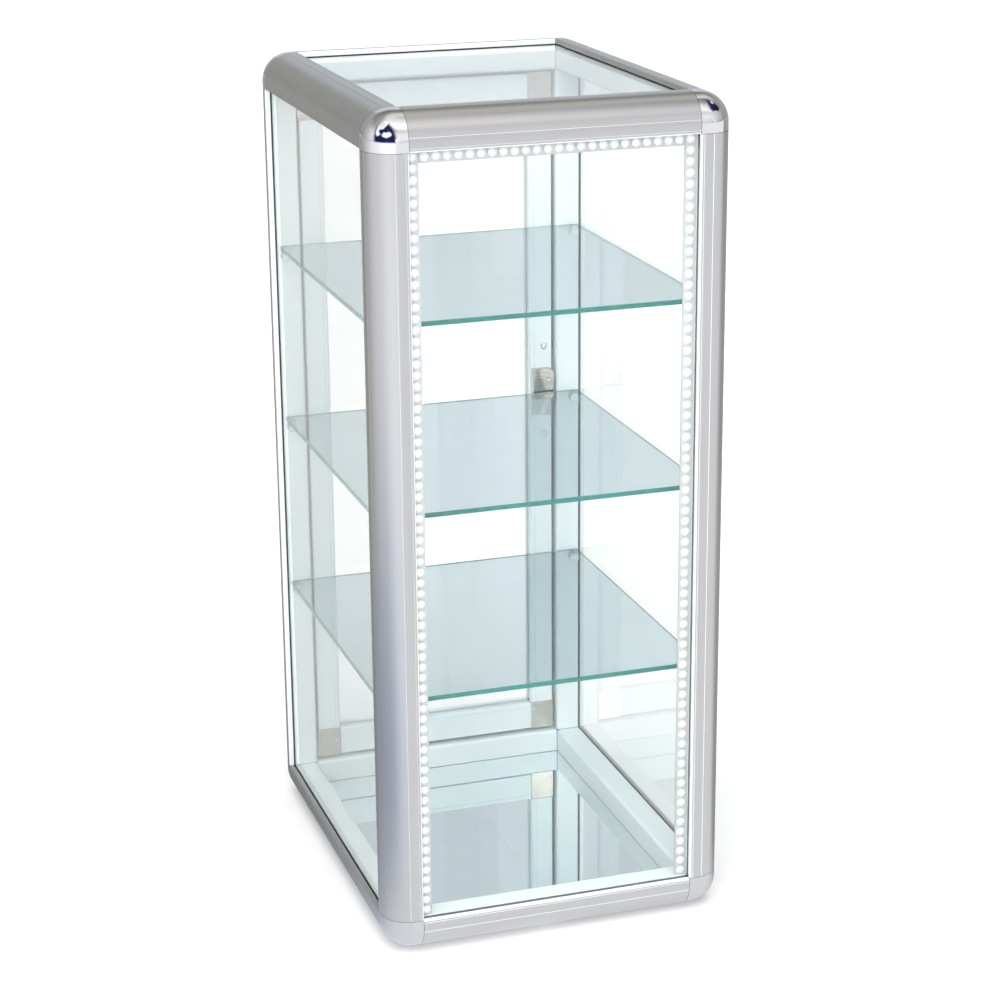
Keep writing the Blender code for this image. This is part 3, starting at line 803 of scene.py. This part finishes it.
def sky():
    """A studio's light, dimmer overhead than around, with dark window shapes in front."""
    world = bpy.data.worlds.new("studio")
    scene.world = world
    world.use_nodes = True
    graph = Graph(world.node_tree)
    around = graph.coordinates("Generated")
    split = graph.node("SeparateXYZ")
    graph.link(around, split.inputs[0])
    height = split.outputs["Z"]
    bands = graph.ramp(height, [
        (0.0, (0.85, 0.85, 0.87)), (0.12, (1.0, 1.0, 1.02)), (0.42, (1.05, 1.05, 1.05)),
        (0.55, (0.85, 0.84, 0.82)), (0.66, (0.62, 0.60, 0.56)), (0.78, (0.66, 0.645, 0.61)),
        (0.88, (0.72, 0.71, 0.68)), (1.0, (0.62, 0.61, 0.58))])
    windows = graph.ramp(graph.noise(around, 1.7, 1.2), [
        (0.455, (0.012, 0.018, 0.07)), (0.49, (0.06, 0.07, 0.19)), (0.50, (0.55, 0.53, 0.48)),
        (0.525, (0.72, 0.70, 0.66)), (0.545, (1.15, 1.15, 1.15))])
    seen = graph.tones(window_mask(graph, around, height), bands, windows)
    overhead = graph.dot(around, Vector((0.30, -0.10, 0.94)).normalized())
    tone = graph.scaled(azimuth_tone(graph, around), graph.eased(overhead, 0.70, 0.92, 1.0, 2.7))
    graph.link(graph.product(tone, seen), graph.tree.nodes["Background"].inputs["Color"])


def card(name, bm, graph_colour, transmission=False):
    """A glowing card that only reflections show, and rays through glass where transmission is set."""
    obj = new_object(name, bm)
    mat = bpy.data.materials.new(name)
    mat.use_nodes = True
    graph = Graph(mat.node_tree)
    emission = graph.node("Emission")
    graph.link(graph_colour(graph), emission.inputs["Color"])
    graph.link(emission.outputs["Emission"], graph.tree.nodes["Material Output"].inputs["Surface"])
    obj.data.materials.append(mat)
    obj.visible_camera = False
    obj.visible_diffuse = False
    obj.visible_transmission = transmission
    obj.visible_shadow = False
    return obj


def bounce_colour(graph):
    """The floor's tone around the case, with a dim cool patch to its left and an even front."""
    place = graph.coordinates("Object")
    unit = graph.node("VectorMath", operation="NORMALIZE")
    graph.link(place, unit.inputs[0])
    apart = graph.node("VectorMath", operation="DISTANCE")
    apart.inputs[1].default_value = (-0.64, -0.12, 0.0)
    graph.link(place, apart.inputs[0])
    near = graph.ramp(graph.eased(apart.outputs["Value"], 0.0, 2.0, 0.0, 1.0), [
        (0.0, (0.44, 0.50, 0.58)), (0.03, (0.46, 0.52, 0.60)), (0.10, (0.62, 0.67, 0.74)),
        (0.28, (0.76, 0.80, 0.86)), (0.65, (1.0, 1.0, 1.0))])
    around = graph.product(azimuth_tone(graph, unit.outputs["Vector"]), near)
    split = graph.node("SeparateXYZ")
    graph.link(place, split.inputs[0])
    front = graph.math("MULTIPLY", graph.eased(split.outputs["X"], -0.35, -0.10, 0.0, 1.0),
                       graph.eased(split.outputs["Y"], -0.05, 0.04, 1.0, 0.0))
    return graph.tones(front, around, (0.97, 0.975, 1.0))


def bounce_card():
    """A card on the floor that keeps the white floor from washing out the metal's reflections."""
    bm = bmesh.new()
    bmesh.ops.create_grid(bm, x_segments=1, y_segments=1, size=14.0)
    card("bounce_card", bm, bounce_colour).location = (0.0, -0.15, -0.0004)


def wall_colour(graph):
    noise = graph.node("TexNoise", Scale=0.7)
    return graph.ramp(noise.outputs["Fac"], [(0.0, (0.52, 0.56, 0.60)), (1.0, (0.66, 0.70, 0.74))])


def bright_card():
    """A pale wall behind the case, which the mirror and the shelves show."""
    bm = bmesh.new()
    add_box(bm, (-0.9, -0.01, 0.60), (0.9, 0.01, 2.3), 0.005, 1)
    obj = card("bright_card", bm, wall_colour, transmission=True)
    turn = math.radians(-163)
    obj.location = (-2.4 * math.sin(turn), -2.4 * math.cos(turn), 0)
    obj.rotation_euler.z = -turn


def lamp(name, kind, energy, place, **values):
    """A light aimed at the middle of the case, which reflections don't show."""
    data = bpy.data.lights.new(name, kind)
    data.energy = energy
    for key, value in values.items():
        setattr(data, key, value)
    obj = bpy.data.objects.new(name, data)
    obj.location = place
    obj.rotation_mode = "QUATERNION"
    obj.rotation_quaternion = (LAMP_TARGET - Vector(place)).to_track_quat("-Z", "Y")
    obj.visible_glossy = False
    scene.collection.objects.link(obj)


floor()
sky()
bounce_card()
bright_card()
lamp("overhead", "SUN", 2.7, (-0.5, -0.8, 3.0), angle=math.radians(70))
lamp("front_box", "AREA", 38.0, (-0.9, -2.9, 1.3), shape="RECTANGLE", size=1.6, size_y=1.6)
scene.view_settings.view_transform = "Standard"
